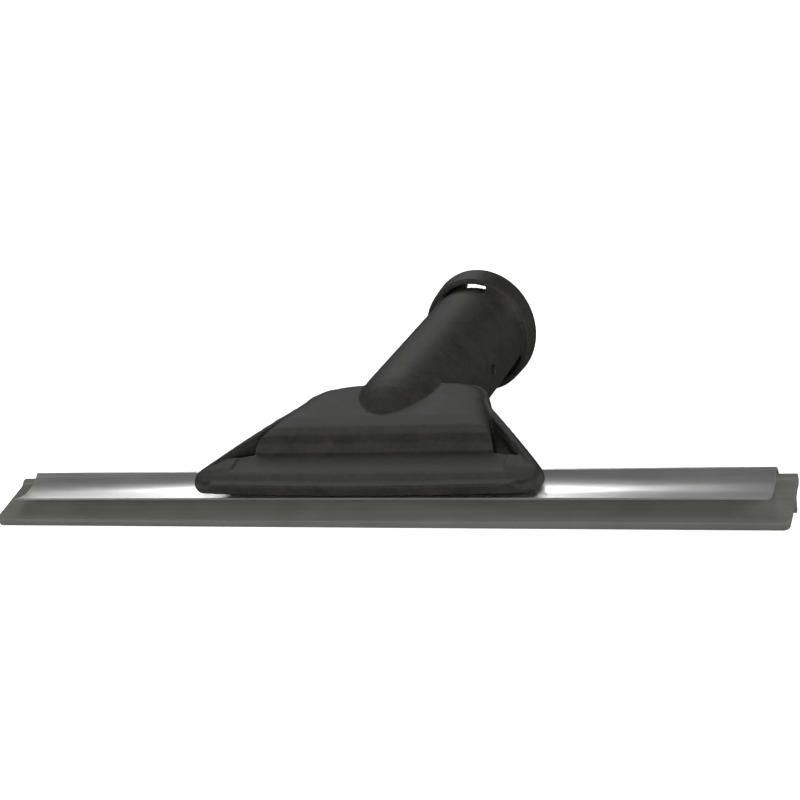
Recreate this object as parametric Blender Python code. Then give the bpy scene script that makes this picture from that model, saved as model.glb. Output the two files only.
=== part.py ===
"""Window cleaning squeegee head: a moulded fan body with a bayonet pole socket,
an aluminium blade channel and a rubber blade.

Everything is drawn in the blade's own axes and then tilted as one on an empty, so
that the head lies on a table: X runs along the blade, Y from its wiping edge back
towards the pole, Z square to the blade's upper face. Sizes are in millimetres here
and are turned into metres when a mesh is made.
"""
import math

import bmesh
import bpy
from mathutils import Matrix, Vector

MM = 0.001
CLEARANCE = 0.3

# Rubber blade, seen from its end: the wiping edge is at Y 0
BLADE_LENGTH = 280.0
BLADE_TOP = -0.3
BLADE_EDGE_THICKNESS = 2.8
BLADE_ROOT_THICKNESS = 3.7
BLADE_CORNER_RADIUS = 2.0
BEAD_Y = 22.0
BEAD_Z = -1.5
BEAD_RADIUS = 2.3
RIB_Y = 14.8
RIB_WIDTH = 2.4
RIB_TIP_Z = -7.8

# Aluminium channel
CHANNEL_LENGTH = 268.0
CHANNEL_WALL = 0.9
LIP_Y = 6.6
LIP_Z = 4.1
VALLEY_Y = 15.4
VALLEY_Z = 0.95
CREST_Y = 23.0
CREST_Z = 2.9
CREST_FALL = ((23.7, 2.7), (24.6, 1.8), (25.4, 0.6), (25.8, -0.4))
CREST_INSIDE = ((24.9, -0.8), (24.5, 0.2), (23.6, 1.3))
CHANNEL_BACK_Y = 25.8
JAW_FRONT_Y = 17.2
JAW_BOTTOM_Z = -5.1

# Pole socket: a tube whose axis runs back and down from the blade plane. Distances
# along it are counted from its mouth and are negative towards the nose
TUBE_TILT = math.radians(-10.5)
TUBE_RADIUS = 19.3
MOUTH_Y = 150.3
MOUTH_Z = -18.7
NOSE = ((0.0, -118.6), (6.4, -117.2), (10.3, -114.3), (12.6, -111.2), (15.2, -106.8),
        (17.3, -102.2), (18.5, -97.8), (19.1, -93.6), (19.3, -89.0))
BORE_RADIUS = 17.0
BORE_DEPTH = 54.0
INNER_BORE_RADIUS = 14.0
INNER_BORE_DEPTH = 92.0
TURN_STEPS = 64
LATCH_HOLE_RADIUS = 2.4
LATCH_HOLE_BACK = -49.5

# Oval bayonet collar round the mouth: it is deeper than wide and sits a little low
COLLAR_HALF_WIDTH = 21.9
COLLAR_HALF_DEPTH = 24.5
COLLAR_DROP = 0.8
COLLAR_LENGTH = 10.5
COLLAR_WALL = 1.5
COLLAR_FLARE = 0.6
SLOT_START = math.radians(-12.0)
SLOT_SPAN = math.radians(33.0)
WEB_START = math.radians(20.0)
WEB_SPAN = math.radians(62.0)
WEB_LENGTH = 7.0
GROOVE_STEPS = 6

# Fan body
FRONT_Y = 8.3
FRONT_SAG = 1.7
CORNER_RADIUS = 6.0
SIDE_Y = 19.5
SIDE_HALF = 61.4
SIDE_FALL = 0.84
SIDE_END_Y = 47.0
BACK_CENTRE = (22.5, 52.5)
BACK_RADIUS = 12.3
SHELL_BOTTOM = 3.3
LEDGE_Z = 8.0
LEDGE_FRONT_Y = 18.0
RIM_SLOPE = 0.097
RIM_START_Y = 17.5
RIM_WIDTH = 3.0
RIM_FALL_Y = 46.0
RIM_FALL = 0.09
LIP_BEVEL = 2.6
HOOD_BASE_Z = 4.6
WALL_BOTTOM = -2.0
WALL_START_Y = 26.4
SHELL_WALL = 2.4
POCKET_FLOOR = 5.2
POCKET_PLAN = ((43.6, 26.2), (52.7, 24.3), (37.9, 42.0))

# Hood sections: distance back, half width, crown height, squareness of the shoulder
HOOD_SECTIONS = (
    (26.8, 44.2, 8.0, 16.0),
    (28.4, 43.7, 10.4, 14.0),
    (31.0, 42.8, 12.0, 12.0),
    (35.0, 41.3, 12.8, 10.0),
    (41.0, 39.1, 13.0, 9.0),
    (47.0, 36.6, 12.6, 8.0),
    (52.0, 34.2, 12.0, 7.0),
    (56.0, 33.6, 11.4, 7.0),
    (59.5, 31.8, 10.9, 6.5),
    (62.0, 29.2, 10.5, 6.0),
    (63.6, 26.4, 10.2, 6.0),
    (64.3, 23.4, 10.0, 6.0),
)
HOOD_ENDS = (2, 3)

# Fasteners
SCREW_RADIUS = 1.4
SCREW_HEAD_RADIUS = 2.9
SCREW_HEAD_HEIGHT = 1.8
HOLE_RADIUS = 1.75
HEAD_HOLE_RADIUS = 3.3
COVER_SCREWS = ((-37.0, 32.0), (37.0, 32.0), (-26.0, 52.0), (26.0, 52.0))
CHANNEL_SCREWS = ((-38.0, 21.6), (38.0, 21.6))
BOSS_RADIUS = 3.4
BOSS_TOP = 10.1
SEAT_RISE = 3.1
RECESS = (2.9, 0.7, 1.6)

COVER_FLOOR = 2.2
COVER_INSET = 1.6
COVER_FRONT_Y = 18.4

AXIS = Vector((0.0, math.cos(TUBE_TILT), math.sin(TUBE_TILT)))
MOUTH = Vector((0.0, MOUTH_Y, MOUTH_Z))
AXIS_UP = Vector((0.0, -math.sin(TUBE_TILT), math.cos(TUBE_TILT)))


def table_height(y):
    """Height of the table top under the head, in the blade's axes."""
    lowest = MOUTH - AXIS_UP * (COLLAR_DROP + COLLAR_HALF_DEPTH)
    slope = (lowest.z - RIB_TIP_Z) / (lowest.y - RIB_Y)
    return RIB_TIP_Z + slope * (y - RIB_Y)


TABLE_SLOPE = math.atan(table_height(0.0) - table_height(1.0))


def clear_scene():
    for old in list(bpy.data.objects):
        bpy.data.objects.remove(old, do_unlink=True)


def make_collection(name):
    made = bpy.data.collections.new(name)
    bpy.context.scene.collection.children.link(made)
    return made


def make_material(name, colour, metallic, roughness):
    made = bpy.data.materials.new(name)
    made.use_nodes = True
    shader = made.node_tree.nodes["Principled BSDF"]
    shader.inputs["Base Color"].default_value = (*colour, 1.0)
    shader.inputs["Metallic"].default_value = metallic
    shader.inputs["Roughness"].default_value = roughness
    made.diffuse_color = (*colour, 1.0)
    return made


class Builder:
    """Adds finished parts and hidden cutters under one tilted empty."""

    def __init__(self):
        self.parts = make_collection("window_squeegee")
        self.cutters = make_collection("cutters")
        self.rig = bpy.data.objects.new("head_tilt", None)
        self.parts.objects.link(self.rig)
        self.rig.rotation_euler = (TABLE_SLOPE, 0.0, 0.0)
        self.materials = {}

    def add(self, name, mesh, material):
        """A finished part."""
        made = bpy.data.objects.new(name, mesh)
        self.parts.objects.link(made)
        made.parent = self.rig
        mesh.materials.clear()
        mesh.materials.append(material)
        return made

    def tool(self, name, mesh):
        """A solid that is only used to cut or to join."""
        made = bpy.data.objects.new(name, mesh)
        self.cutters.objects.link(made)
        made.parent = self.rig
        made.hide_render = True
        made.display_type = "WIRE"
        return made


def combine(target, tool, operation, crossing=False):
    """Join or cut with a tool; crossing is for a target whose own joined faces cross."""
    step = target.modifiers.new(operation.lower() + "_" + tool.name, "BOOLEAN")
    step.object = tool
    step.operation = operation
    step.solver = "EXACT"
    step.use_self = crossing


def shape(target, tool, operation):
    """Join or cut, tolerating faces of the target that already cross."""
    combine(target, tool, operation, crossing=True)


def finish(name, work):
    """A bmesh in millimetres becomes a mesh in metres."""
    bmesh.ops.recalc_face_normals(work, faces=work.faces)
    bmesh.ops.scale(work, vec=(MM, MM, MM), verts=work.verts)
    made = bpy.data.meshes.new(name)
    work.to_mesh(made)
    work.free()
    return made


def arc(centre, radius, start, end, steps):
    """Points on an arc; angles in degrees."""
    points = []
    for step in range(steps + 1):
        angle = math.radians(start + (end - start) * step / steps)
        points.append((centre[0] + radius * math.cos(angle), centre[1] + radius * math.sin(angle)))
    return points


def bar(outline, half_length):
    """A section in Y and Z, drawn out along X."""
    work = bmesh.new()
    start = [work.verts.new((-half_length, y, z)) for y, z in outline]
    face = work.faces.new(start)
    drawn = bmesh.ops.extrude_face_region(work, geom=[face])
    moved = [item for item in drawn["geom"] if isinstance(item, bmesh.types.BMVert)]
    bmesh.ops.translate(work, vec=(2 * half_length, 0.0, 0.0), verts=moved)
    return work


def slab(outline, bottom, top):
    """A plan outline in X and Y between two heights, each a number or a rule of Y."""
    bottom_at = bottom if callable(bottom) else lambda y: bottom
    top_at = top if callable(top) else lambda y: top
    work = bmesh.new()
    low = [work.verts.new((x, y, bottom_at(y))) for x, y in outline]
    face = work.faces.new(low)
    drawn = bmesh.ops.extrude_face_region(work, geom=[face])
    for item in drawn["geom"]:
        if isinstance(item, bmesh.types.BMVert):
            item.co.z = top_at(item.co.y)
    return work


def cylinder(radius, bottom, top, centre, sides=24):
    """An upright cylinder at a plan point."""
    work = bmesh.new()
    middle = Vector((centre[0], centre[1], (bottom + top) / 2))
    bmesh.ops.create_cone(work, cap_ends=True, segments=sides, radius1=radius, radius2=radius,
                          depth=top - bottom, matrix=Matrix.Translation(middle))
    return work


def round_point(angle, radius, back):
    """A point on a circle round the tube's axis; angles run from its top towards +X."""
    side = AXIS_UP * math.cos(angle) + Vector((math.sin(angle), 0.0, 0.0))
    return MOUTH + AXIS * back + side * radius


def oval_point(angle, inset, back):
    """A point on the collar's oval, drawn in by an inset."""
    deep = (COLLAR_HALF_DEPTH - inset) * math.cos(angle) - COLLAR_DROP
    wide = (COLLAR_HALF_WIDTH - inset) * math.sin(angle)
    return MOUTH + AXIS * back + AXIS_UP * deep + Vector((wide, 0.0, 0.0))


def strip(work, near, far):
    """Faces between two rows of vertices."""
    for index in range(len(near) - 1):
        work.faces.new((near[index], near[index + 1], far[index + 1], far[index]))


def whole_turn(section, tip, end):
    """A solid of sections carried right round the axis, closed at two distances on it."""
    work = bmesh.new()
    angles = [2 * math.pi * step / TURN_STEPS for step in range(TURN_STEPS)]
    rows = [[work.verts.new(point) for point in section(angle)] for angle in angles]
    first = work.verts.new(round_point(0.0, 0.0, tip))
    last = work.verts.new(round_point(0.0, 0.0, end))
    for index, near in enumerate(rows):
        far = rows[(index + 1) % len(rows)]
        strip(work, near, far)
        work.faces.new((first, near[0], far[0]))
        work.faces.new((last, far[-1], near[-1]))
    return work


def part_turn(section, start, span, steps):
    """A solid of closed sections carried through part of a turn."""
    work = bmesh.new()
    angles = [start + span * step / steps for step in range(steps + 1)]
    rows = [[work.verts.new(point) for point in section(angle)] for angle in angles]
    for near, far in zip(rows, rows[1:]):
        strip(work, near + near[:1], far + far[:1])
    work.faces.new(rows[0])
    work.faces.new(rows[-1])
    return work


def rubber_blade(builder):
    """One strip: thin at the wiping edge, with a rib below and a round bead at the back."""
    bead = arc((BEAD_Y, BEAD_Z), BEAD_RADIUS, 140.0, -130.0, 12)
    neck_z = BLADE_TOP - BLADE_ROOT_THICKNESS
    rib_tip = arc((RIB_Y, RIB_TIP_Z + RIB_WIDTH / 2), RIB_WIDTH / 2, 0.0, -180.0, 6)
    rib_foot = RIB_WIDTH / 2 + 0.8
    outline = [(0.0, BLADE_TOP), (BEAD_Y - BEAD_RADIUS - 0.5, BLADE_TOP)]
    outline += bead
    outline += [(RIB_Y + rib_foot, neck_z)]
    outline += rib_tip
    outline += [(RIB_Y - rib_foot, neck_z), (0.0, BLADE_TOP - BLADE_EDGE_THICKNESS)]
    work = bar(outline, BLADE_LENGTH / 2)
    corners = [edge for edge in work.edges
               if all(vert.co.y < 0.01 for vert in edge.verts)
               and abs(edge.verts[0].co.x - edge.verts[1].co.x) < 0.01]
    bmesh.ops.bevel(work, geom=corners, offset=BLADE_CORNER_RADIUS, segments=4, profile=0.5,
                    affect="EDGES")
    return builder.add("rubber_blade", finish("rubber_blade", work), builder.materials["rubber"])


def channel_top():
    """The hollowed upper face, from the flared lip back to the crest."""
    front = []
    for step in range(9):
        share = step / 8
        front.append((LIP_Y + (VALLEY_Y - LIP_Y) * share,
                      VALLEY_Z + (LIP_Z - VALLEY_Z) * (1.0 - share) ** 2))
    back = []
    for step in range(1, 7):
        share = step / 6
        back.append((VALLEY_Y + (CREST_Y - VALLEY_Y) * share,
                     VALLEY_Z + (CREST_Z - VALLEY_Z) * share ** 2.2))
    return front + back


def blade_channel(builder):
    """An extrusion: hollowed top with a flared lip, a back wall and a jaw under the bead."""
    top = channel_top()
    upper = top + list(CREST_FALL)
    lower_outside = [(CHANNEL_BACK_Y, JAW_BOTTOM_Z + 0.8), (CHANNEL_BACK_Y - 0.8, JAW_BOTTOM_Z),
                     (JAW_FRONT_Y, JAW_BOTTOM_Z), (JAW_FRONT_Y, JAW_BOTTOM_Z + CHANNEL_WALL)]
    inside_y = CHANNEL_BACK_Y - CHANNEL_WALL
    inside = [(inside_y, JAW_BOTTOM_Z + CHANNEL_WALL)] + list(CREST_INSIDE)
    under = [(y, z - CHANNEL_WALL) for y, z in reversed(top)]
    outline = upper + lower_outside + inside + under
    work = bar(outline, CHANNEL_LENGTH / 2)
    made = builder.add("blade_channel", finish("blade_channel", work),
                       builder.materials["aluminium"])
    for index, spot in enumerate(CHANNEL_SCREWS):
        hole = cylinder(HOLE_RADIUS, JAW_BOTTOM_Z - 1.0, JAW_BOTTOM_Z + CHANNEL_WALL + 0.3, spot, 16)
        combine(made, builder.tool("jaw_hole_%d" % index, finish("jaw_hole", hole)), "DIFFERENCE")
    return made


def open_groove(angle):
    """Tube wall, closed back and inner face of the collar, up to the collar's front."""
    back = -COLLAR_WALL - 0.1
    start = -COLLAR_LENGTH - WEB_LENGTH
    path = []
    for step in range(GROOVE_STEPS):
        path.append(round_point(angle, TUBE_RADIUS, start + (back - start) * step / GROOVE_STEPS))
    path.append(round_point(angle, TUBE_RADIUS, back))
    for step in range(GROOVE_STEPS):
        share = step / (GROOVE_STEPS - 1)
        inset = COLLAR_WALL + COLLAR_FLARE * share
        path.append(oval_point(angle, inset, back + (0.2 - COLLAR_LENGTH - back) * share))
    return path


def webbed_groove(angle):
    """The same stretch filled by a web that flares from the tube up to the collar."""
    start = -COLLAR_LENGTH - WEB_LENGTH
    path = []
    for step in range(2 * GROOVE_STEPS + 1):
        share = step / (2 * GROOVE_STEPS)
        back = start + WEB_LENGTH * share
        low = round_point(angle, TUBE_RADIUS, back)
        path.append(low.lerp(oval_point(angle, COLLAR_FLARE + 1.0, back), share ** 2.2))
    return path


def tube_section(angle):
    """Half of the socket cut through at one angle: nose, groove, collar, mouth and bore."""
    front = -COLLAR_LENGTH
    nose = [round_point(angle, radius, back) for radius, back in NOSE[1:]]
    webbed = 0.0 < (angle - WEB_START) % math.pi < WEB_SPAN
    groove = webbed_groove(angle) if webbed else open_groove(angle)
    collar = [oval_point(angle, COLLAR_FLARE + 0.4, front),
              oval_point(angle, COLLAR_FLARE, front + 0.5),
              oval_point(angle, 0.0, -0.9),
              oval_point(angle, 0.25, -0.25),
              oval_point(angle, 0.9, 0.0)]
    bore = [(BORE_RADIUS + 0.7, 0.0), (BORE_RADIUS, -0.7), (BORE_RADIUS, -BORE_DEPTH),
            (INNER_BORE_RADIUS, -BORE_DEPTH), (INNER_BORE_RADIUS, -INNER_BORE_DEPTH)]
    return nose + groove + collar + [round_point(angle, radius, back) for radius, back in bore]


def slot_section(angle):
    """The pin's way in, cut through at one angle: tube wall and collar back."""
    return [round_point(angle, BORE_RADIUS - 2.0, 2.0),
            round_point(angle, BORE_RADIUS - 2.0, -COLLAR_LENGTH),
            oval_point(angle, COLLAR_FLARE + COLLAR_WALL + 0.2, -COLLAR_LENGTH),
            oval_point(angle, COLLAR_WALL + 0.2, 2.0)]


def socket_tube(builder):
    """Cone-nosed tube, bored from its mouth, with an oval bayonet collar held by two webs."""
    body = whole_turn(tube_section, NOSE[0][1], -INNER_BORE_DEPTH)
    made = builder.add("socket_tube", finish("socket_tube", body), builder.materials["plastic"])
    for index in range(2):
        slot = part_turn(slot_section, SLOT_START + index * math.pi, SLOT_SPAN, 8)
        combine(made, builder.tool("slot_%d" % index, finish("slot", slot)), "DIFFERENCE")

    # A flat under the nose lies on the table with the collar and the blade's rib
    floor = [(-40.0, 20.0), (40.0, 20.0), (40.0, 170.0), (-40.0, 170.0)]
    under = slab(floor, lambda y: table_height(y) - 30.0, table_height)
    combine(made, builder.tool("table_cut", finish("table_cut", under)), "DIFFERENCE")

    hole = bmesh.new()
    bmesh.ops.create_cone(hole, cap_ends=True, segments=16, radius1=LATCH_HOLE_RADIUS,
                          radius2=LATCH_HOLE_RADIUS, depth=12.0)
    bmesh.ops.rotate(hole, cent=(0, 0, 0), matrix=Matrix.Rotation(math.pi / 2, 3, "Y"),
                     verts=hole.verts)
    bmesh.ops.translate(hole, vec=round_point(math.pi / 2, TUBE_RADIUS, LATCH_HOLE_BACK),
                        verts=hole.verts)
    combine(made, builder.tool("latch_hole", finish("latch_hole", hole)), "DIFFERENCE")
    return made


def space_section(angle):
    """Half of the room that the tube takes up in the body, with the gap round it."""
    outside = [(radius + CLEARANCE, back - CLEARANCE) for radius, back in NOSE[1:]]
    outside.append((TUBE_RADIUS + CLEARANCE, -20.0))
    return [round_point(angle, radius, back) for radius, back in outside]


def tube_space(builder, name):
    """The tube's outside with the running gap, to cut the body round it."""
    space = whole_turn(space_section, NOSE[0][1] - CLEARANCE, -20.0)
    return builder.tool(name, finish(name, space))


def side_half(y, inset):
    """Half the fan's width along its straight side, drawn in by an inset."""
    return SIDE_HALF - SIDE_FALL * (y - SIDE_Y) - inset * math.hypot(1.0, SIDE_FALL)


def front_edge(x):
    return FRONT_Y + FRONT_SAG * (x / SIDE_HALF) ** 2


def fan_outline(inset=0.0, front=None):
    """Plan of the fan, anticlockwise from the middle of its front."""
    right = []
    if front is None:
        turn = math.degrees(math.atan(1.0 / SIDE_FALL)) - 90.0
        centre_y = front_edge(SIDE_HALF - CORNER_RADIUS) + CORNER_RADIUS
        centre = (side_half(centre_y, CORNER_RADIUS), centre_y)
        for step in range(8):
            x = centre[0] * step / 7
            right.append((x, front_edge(x)))
        right += arc(centre, CORNER_RADIUS, -82.0, -turn, 8)
    else:
        right += [(0.0, front), (side_half(front, inset), front)]
    right += [(side_half(SIDE_END_Y, inset), SIDE_END_Y)]
    right += arc(BACK_CENTRE, BACK_RADIUS - inset, 8.0, 90.0, 8)
    left = [(-x, y) for x, y in reversed(right) if x > 0.001]
    return right + left


def rim_height(y):
    return LEDGE_Z + RIM_SLOPE * (y - RIM_START_Y)


def rim_fall(y):
    """The rims come down again behind the hood's highest part."""
    return rim_height(RIM_FALL_Y) - RIM_FALL * (y - RIM_FALL_Y)


def section_loft(sections, base, lower=0.0, narrow=0.0):
    """A solid over square-shouldered arches, one for each section along Y."""
    work = bmesh.new()
    columns = 20
    rows = []
    for back, half, crown, power in sections:
        half = half - narrow
        crown = max(crown - lower, base + 0.2)
        row = [work.verts.new((half, back, base))]
        for step in range(columns + 1):
            angle = math.pi * step / columns
            side = math.copysign(abs(math.cos(angle)) ** (2.0 / power), math.cos(angle))
            rise = math.sin(angle) ** (2.0 / power)
            row.append(work.verts.new((half * side, back, base + 0.05 + (crown - base) * rise)))
        row.append(work.verts.new((-half, back, base)))
        rows.append(row)
    for near, far in zip(rows, rows[1:]):
        for index in range(len(near)):
            following = (index + 1) % len(near)
            work.faces.new((near[index], near[following], far[following], far[index]))
    work.faces.new(rows[0])
    work.faces.new(rows[-1])
    return work


def head_shell(builder):
    """Upper moulding: ledge with a rounded front lip, raised rims, hood and hollow inside."""
    skirt = slab(fan_outline(), SHELL_BOTTOM, rim_height)
    front = [edge for edge in skirt.edges
             if all(vert.co.z > SHELL_BOTTOM + 1.0 and vert.co.y < SIDE_Y + 1.0
                    for vert in edge.verts)]
    bmesh.ops.bevel(skirt, geom=front, offset=LIP_BEVEL, segments=4, profile=0.5, affect="EDGES")
    made = builder.add("head_shell", finish("head_shell", skirt), builder.materials["plastic"])

    walls = slab(fan_outline(0.0, WALL_START_Y), WALL_BOTTOM, SHELL_BOTTOM + 1.5)
    shape(made, builder.tool("walls", finish("walls", walls)), "UNION")

    behind = [(-50.0, RIM_FALL_Y), (50.0, RIM_FALL_Y), (50.0, 75.0), (-50.0, 75.0)]
    back_cut = slab(behind, rim_fall, 20.0)
    shape(made, builder.tool("back_cut", finish("back_cut", back_cut)), "DIFFERENCE")
    ledge = slab(fan_outline(RIM_WIDTH, LEDGE_FRONT_Y), LEDGE_Z, 20.0)
    shape(made, builder.tool("ledge_cut", finish("ledge_cut", ledge)), "DIFFERENCE")
    for side in (-1, 1):
        plan = [(side * x, y) for x, y in POCKET_PLAN]
        pocket = slab(plan, POCKET_FLOOR, 20.0)
        tool = builder.tool("pocket_%s" % ("left" if side < 0 else "right"), finish("pocket", pocket))
        shape(made, tool, "DIFFERENCE")
    hood = section_loft(HOOD_SECTIONS, HOOD_BASE_Z)
    shape(made, builder.tool("hood", finish("hood", hood)), "UNION")

    cavity = slab(fan_outline(SHELL_WALL, WALL_START_Y + SHELL_WALL), -10.0, 2.8)
    shape(made, builder.tool("cavity", finish("cavity", cavity)), "DIFFERENCE")
    inner = HOOD_SECTIONS[HOOD_ENDS[0]:-HOOD_ENDS[1]]
    dome = section_loft(inner, 2.0, SHELL_WALL, SHELL_WALL)
    shape(made, builder.tool("hood_cavity", finish("hood_cavity", dome)), "DIFFERENCE")

    for index, spot in enumerate(COVER_SCREWS):
        boss = cylinder(BOSS_RADIUS, WALL_BOTTOM, BOSS_TOP, spot)
        shape(made, builder.tool("boss_%d" % index, finish("boss", boss)), "UNION")
        drill = cylinder(HOLE_RADIUS, WALL_BOTTOM - 5.0, WALL_BOTTOM + 7.5, spot, 16)
        shape(made, builder.tool("boss_hole_%d" % index, finish("drill", drill)), "DIFFERENCE")
    shape(made, tube_space(builder, "tube_space_shell"), "DIFFERENCE")
    return made


def lower_cover(builder):
    """Tray that closes the underside, clamps the channel's jaw and lies on the table."""
    top = WALL_BOTTOM - CLEARANCE
    tray = slab(fan_outline(COVER_INSET, COVER_FRONT_Y), table_height, top)
    made = builder.add("lower_cover", finish("lower_cover", tray), builder.materials["plastic"])

    step = [(-80.0, 0.0), (80.0, 0.0), (80.0, WALL_START_Y - 0.2), (-80.0, WALL_START_Y - 0.2)]
    notch = slab(step, JAW_BOTTOM_Z - CLEARANCE, 20.0)
    combine(made, builder.tool("jaw_step", finish("jaw_step", notch)), "DIFFERENCE")
    inset = COVER_INSET + SHELL_WALL
    hollow = slab(fan_outline(inset, WALL_START_Y + SHELL_WALL),
                  lambda y: table_height(y) + COVER_FLOOR, 20.0)
    combine(made, builder.tool("tray_hollow", finish("tray_hollow", hollow)), "DIFFERENCE")
    for index, spot in enumerate(COVER_SCREWS):
        post = cylinder(BOSS_RADIUS + 1.0, table_height(spot[1]) + 1.4, top, spot)
        combine(made, builder.tool("post_%d" % index, finish("post", post)), "UNION")
    for index, spot in enumerate(COVER_SCREWS + CHANNEL_SCREWS):
        seat = head_seat(spot)
        drill = cylinder(HOLE_RADIUS, seat - 2.0, 20.0, spot, 16)
        combine(made, builder.tool("cover_hole_%d" % index, finish("drill", drill)), "DIFFERENCE")
        drill = cylinder(HEAD_HOLE_RADIUS, seat - 20.0, seat, spot, 20)
        combine(made, builder.tool("head_hole_%d" % index, finish("drill", drill)), "DIFFERENCE")
    combine(made, tube_space(builder, "tube_space_cover"), "DIFFERENCE")
    return made


def head_seat(spot):
    """Height at which a screw's head sits, sunk in the cover."""
    return table_height(spot[1]) + SEAT_RISE


def screw(spot, seat, tip):
    """A pan-head screw pointing up, with a cross recess in its head."""
    work = bmesh.new()
    head_low = seat - CLEARANCE - SCREW_HEAD_HEIGHT
    profile = [(0.0, tip), (SCREW_RADIUS * 0.5, tip), (SCREW_RADIUS, tip - 1.4),
               (SCREW_RADIUS, seat - CLEARANCE), (SCREW_HEAD_RADIUS, seat - CLEARANCE),
               (SCREW_HEAD_RADIUS, head_low + 0.8), (SCREW_HEAD_RADIUS - 0.8, head_low),
               (0.0, head_low)]
    points = [work.verts.new((spot[0] + radius, spot[1], z)) for radius, z in profile]
    edges = [work.edges.new(pair) for pair in zip(points, points[1:])]
    bmesh.ops.spin(work, geom=points + edges, cent=(spot[0], spot[1], 0.0), axis=(0.0, 0.0, 1.0),
                   angle=2 * math.pi, steps=20, use_merge=True)
    bmesh.ops.remove_doubles(work, verts=work.verts, dist=1e-4)
    return work


def add_screw(builder, name, spot, seat, tip):
    """One screw with a cross recess cut in its head."""
    made = builder.add(name, finish(name, screw(spot, seat, tip)), builder.materials["steel"])
    low = seat - CLEARANCE - SCREW_HEAD_HEIGHT
    for index, size in enumerate((RECESS, (RECESS[1], RECESS[0], RECESS[2]))):
        slot = bmesh.new()
        box = Matrix.Translation((spot[0], spot[1], low)) @ Matrix.Diagonal((*size, 1.0))
        bmesh.ops.create_cube(slot, size=1.0, matrix=box)
        tool = builder.tool("%s_recess_%d" % (name, index), finish("recess", slot))
        combine(made, tool, "DIFFERENCE")


def screws(builder):
    for index, spot in enumerate(COVER_SCREWS):
        seat = head_seat(spot)
        add_screw(builder, "cover_screw_%d" % (index + 1), spot, seat, WALL_BOTTOM + 6.0)
    for index, spot in enumerate(CHANNEL_SCREWS):
        seat = head_seat(spot)
        add_screw(builder, "channel_screw_%d" % (index + 1), spot, seat, JAW_BOTTOM_Z + CHANNEL_WALL)


def stand_on_table(builder):
    """Lift and centre the tilted head: its box stands on Z 0, centred on the origin."""
    bpy.context.view_layer.update()
    graph = bpy.context.evaluated_depsgraph_get()
    points = []
    for part in builder.parts.objects:
        if part.type != "MESH":
            continue
        shape = part.evaluated_get(graph)
        points += [shape.matrix_world @ vert.co for vert in shape.data.vertices]
    low_y = min(point.y for point in points)
    high_y = max(point.y for point in points)
    low_z = min(point.z for point in points)
    builder.rig.location = (0.0, -(low_y + high_y) / 2, -low_z)
    bpy.context.view_layer.update()


def main():
    clear_scene()
    builder = Builder()
    builder.materials["plastic"] = make_material("black_plastic", (0.025, 0.025, 0.025), 0.0, 0.55)
    builder.materials["aluminium"] = make_material("satin_aluminium", (0.74, 0.75, 0.75), 1.0, 0.35)
    builder.materials["rubber"] = make_material("grey_rubber", (0.13, 0.13, 0.125), 0.0, 0.7)
    builder.materials["steel"] = make_material("zinc_steel", (0.55, 0.55, 0.54), 1.0, 0.3)
    rubber_blade(builder)
    blade_channel(builder)
    head_shell(builder)
    socket_tube(builder)
    lower_cover(builder)
    screws(builder)
    stand_on_table(builder)


main()
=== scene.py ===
"""Looks of a window squeegee head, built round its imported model.

Shapes are drawn in millimetres in the blade's own axes: X along the blade, Y from the
wiping edge back towards the handle, Z square to the blade's upper face. HeadAxes turns
them into the frame's metres, in which the head lies on a table.
"""
from __future__ import annotations

import logging
import math
from dataclasses import dataclass, field
from enum import Enum
from typing import Callable, Sequence

import bmesh
import bpy
from mathutils import Matrix, Vector

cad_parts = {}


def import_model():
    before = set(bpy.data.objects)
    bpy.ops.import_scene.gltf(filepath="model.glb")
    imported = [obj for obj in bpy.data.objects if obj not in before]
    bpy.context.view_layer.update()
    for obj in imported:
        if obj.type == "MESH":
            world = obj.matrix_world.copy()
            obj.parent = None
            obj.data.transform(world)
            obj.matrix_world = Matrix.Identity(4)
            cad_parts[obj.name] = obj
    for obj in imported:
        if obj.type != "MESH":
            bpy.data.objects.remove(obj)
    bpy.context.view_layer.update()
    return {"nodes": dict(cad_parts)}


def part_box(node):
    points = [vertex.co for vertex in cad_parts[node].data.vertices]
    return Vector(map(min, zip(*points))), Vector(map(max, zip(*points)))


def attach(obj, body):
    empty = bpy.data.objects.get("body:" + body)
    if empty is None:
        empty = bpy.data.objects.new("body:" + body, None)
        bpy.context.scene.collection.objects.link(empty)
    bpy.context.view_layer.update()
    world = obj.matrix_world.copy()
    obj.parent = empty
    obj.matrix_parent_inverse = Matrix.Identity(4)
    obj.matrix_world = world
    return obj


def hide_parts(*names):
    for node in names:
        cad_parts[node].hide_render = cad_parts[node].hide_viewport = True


LOG = logging.getLogger("squeegee")
MM = 0.001
ABOVE_ALL = 20.0
CORNER_ANGLE = math.radians(35.0)
HEM_STEPS = 2
SPECK_SHARE = 0.45
COLOUR_SPAN = (0.34, 0.66)
ROUGH_SPAN = (0.3, 0.7)
WORN_SPAN = (0.52, 0.62)
WORN_LIFT = 2.2

Point2 = tuple[float, float]
Height = Callable[[float], float]


class Cut(Enum):
    """How one solid acts on another."""

    JOIN = "UNION"
    REMOVE = "DIFFERENCE"


class Side(Enum):
    """Left and right half of the head."""

    LEFT = -1
    RIGHT = 1


class Grain(Enum):
    """Which way a finish's fine marks run."""

    EVEN = "even"
    ALONG_BLADE = "along_blade"


# --------------------------------------------------------------------------- finishes


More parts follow.
